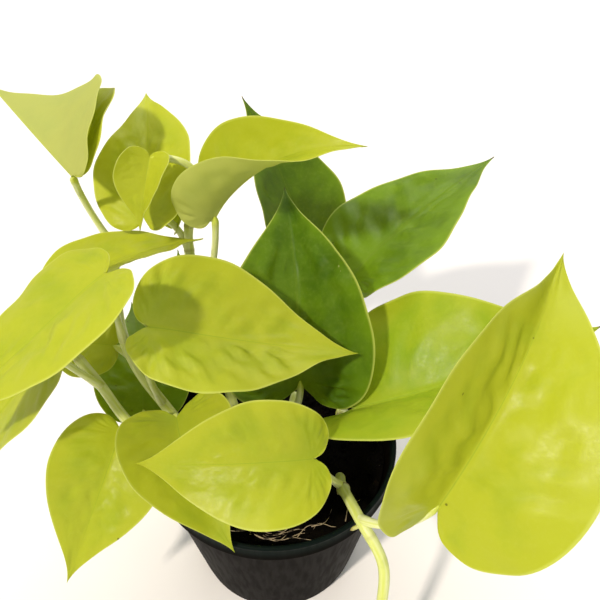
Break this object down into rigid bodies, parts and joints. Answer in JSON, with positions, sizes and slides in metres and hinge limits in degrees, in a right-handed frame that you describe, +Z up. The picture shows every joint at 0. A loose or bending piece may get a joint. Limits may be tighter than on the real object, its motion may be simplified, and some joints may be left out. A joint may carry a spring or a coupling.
{
  "type": "potted pothos plant",
  "caption": "Young trailing pothos with heart-shaped lime and green leaves on leaning vines, rooted in soil in a tapered black plastic nursery pot.",
  "frame": {"origin": "centre of the pot's flat underside, on the surface it stands on", "axes": "+Z up out of the pot; -Y the side that the trailing vine hangs on; +X to the right when looking along +Y"},
  "size_m": [0.2674, 0.2862, 0.2083],
  "materials": {
    "pot": "satin moulded plastic",
    "soil": "moist peat and bark mix",
    "vine": "smooth living stem",
    "stalk": "smooth living leaf stalk",
    "lime_leaf": "satin lime leaf",
    "green_leaf": "satin green leaf"
  },
  "bodies": {
    "root": {"pot": "pot", "soil": "soil", "vine_trailing": "vine", "vine_left": "vine", "vine_mid_left": "vine", "vine_centre": "vine", "vine_back": "vine", "vine_right": "vine", "leaf_top_left": "lime_leaf", "leaf_upright": "lime_leaf", "leaf_young": "lime_leaf", "leaf_top_arch": "lime_leaf", "leaf_dark_back": "green_leaf", "leaf_dark_right": "green_leaf", "leaf_dark_centre": "green_leaf", "leaf_dark_inner": "green_leaf", "leaf_dark_left": "green_leaf", "leaf_centre": "lime_leaf", "leaf_left": "lime_leaf", "leaf_left_back": "lime_leaf", "leaf_corner": "lime_leaf", "leaf_low_left": "lime_leaf", "leaf_lower_left": "lime_leaf", "leaf_lower_mid": "lime_leaf", "leaf_lower_front": "lime_leaf", "leaf_right_fold": "lime_leaf", "leaf_right_front": "lime_leaf", "leaf_trailing": "lime_leaf", "stalk_top_left": "stalk", "stalk_upright": "stalk", "stalk_young": "stalk", "stalk_top_arch": "stalk", "stalk_dark_back": "stalk", "stalk_dark_right": "stalk", "stalk_dark_centre": "stalk", "stalk_dark_inner": "stalk", "stalk_dark_left": "stalk", "stalk_centre": "stalk", "stalk_left": "stalk", "stalk_left_back": "stalk", "stalk_corner": "stalk", "stalk_low_left": "stalk", "stalk_lower_left": "stalk", "stalk_lower_mid": "stalk", "stalk_lower_front": "stalk", "stalk_right_fold": "stalk", "stalk_right_front": "stalk", "stalk_trailing": "stalk"}
  },
  "joints": []
}
